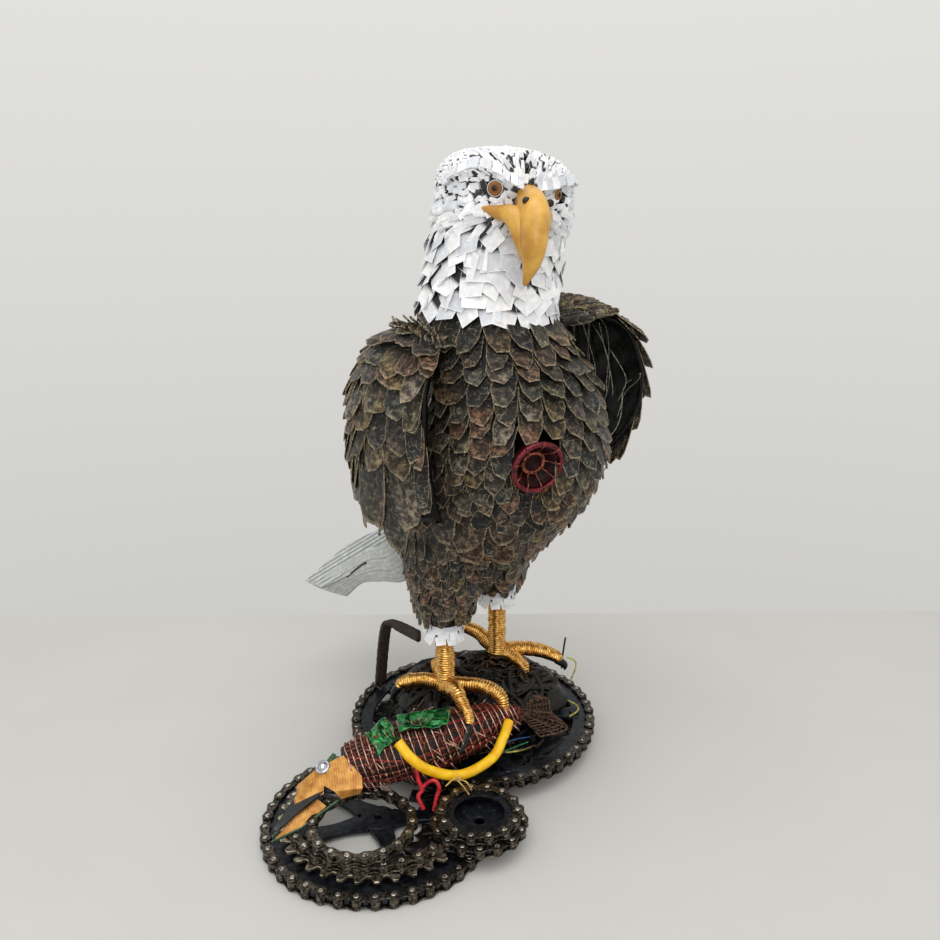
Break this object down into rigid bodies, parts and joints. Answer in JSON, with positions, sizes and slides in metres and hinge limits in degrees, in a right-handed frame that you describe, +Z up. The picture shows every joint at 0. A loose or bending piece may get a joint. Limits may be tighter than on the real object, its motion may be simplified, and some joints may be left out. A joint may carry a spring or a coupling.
{
  "type": "eagle sculpture",
  "caption": "Eagle assembled from scrap, perched on a wire fish and a stack of bicycle chainrings and chain.",
  "frame": {"origin": "middle of the footprint box, on the floor", "axes": "+Z up, -Y towards the viewer of the picture, +X to its right"},
  "size_m": [0.3098, 0.3906, 0.5008],
  "materials": {
    "chain_steel": "greasy dark roller chain",
    "black_alloy": "worn satin black",
    "bare_steel": "dull worn steel",
    "rubber": "matt black",
    "strap_brown": "worn dark brown",
    "copper_wire": "dark copper wire",
    "circuit_gold": "orange circuit board",
    "silver": "bright metal",
    "green_foil": "crinkled shiny green foil",
    "yellow_pvc": "smooth yellow cable sheath",
    "red_pvc": "smooth red wire sheath",
    "feather_brown": "scratched glossy brown sheet",
    "white_tile": "matt white cut sheet",
    "tail_white": "pale grey ribbed sheet",
    "beak_yellow": "satin ochre",
    "eye_amber": "glossy amber",
    "red_enamel": "glossy dark red",
    "gold_wire": "wound gold wire",
    "claw_black": "glossy black"
  },
  "bodies": {
    "root": {"front_chain": "chain_steel", "middle_chain": "chain_steel", "upper_chain": "chain_steel", "side_chain_lower": "chain_steel", "side_chain_upper": "chain_steel", "rear_chain": "chain_steel", "front_chainring": "black_alloy", "side_cog_lower": "black_alloy", "side_cog_upper": "black_alloy", "rear_chainring": "black_alloy", "steel_sprocket": "bare_steel", "rubber_mound": "rubber", "bent_strap": "strap_brown", "fish_body": "copper_wire", "fish_tail": "copper_wire", "fish_head": "circuit_gold", "fish_jaw": "circuit_gold", "fish_eye": "silver", "foil_front": "green_foil", "foil_back": "green_foil", "yellow_cable": "yellow_pvc", "red_fin": "red_pvc", "feathered_body": "feather_brown", "right_wing": "feather_brown", "left_wing": "feather_brown", "white_head": "white_tile", "right_cuff": "white_tile", "left_cuff": "white_tile", "tail_fan": "tail_white", "beak": "beak_yellow", "right_eye": "eye_amber", "left_eye": "eye_amber", "chest_rosette": "red_enamel", "right_foot": "gold_wire", "left_foot": "gold_wire", "right_claw_1": "claw_black", "right_claw_2": "claw_black", "right_claw_3": "claw_black", "right_claw_4": "claw_black", "left_claw_1": "claw_black", "left_claw_2": "claw_black", "left_claw_3": "claw_black"}
  },
  "joints": []
}
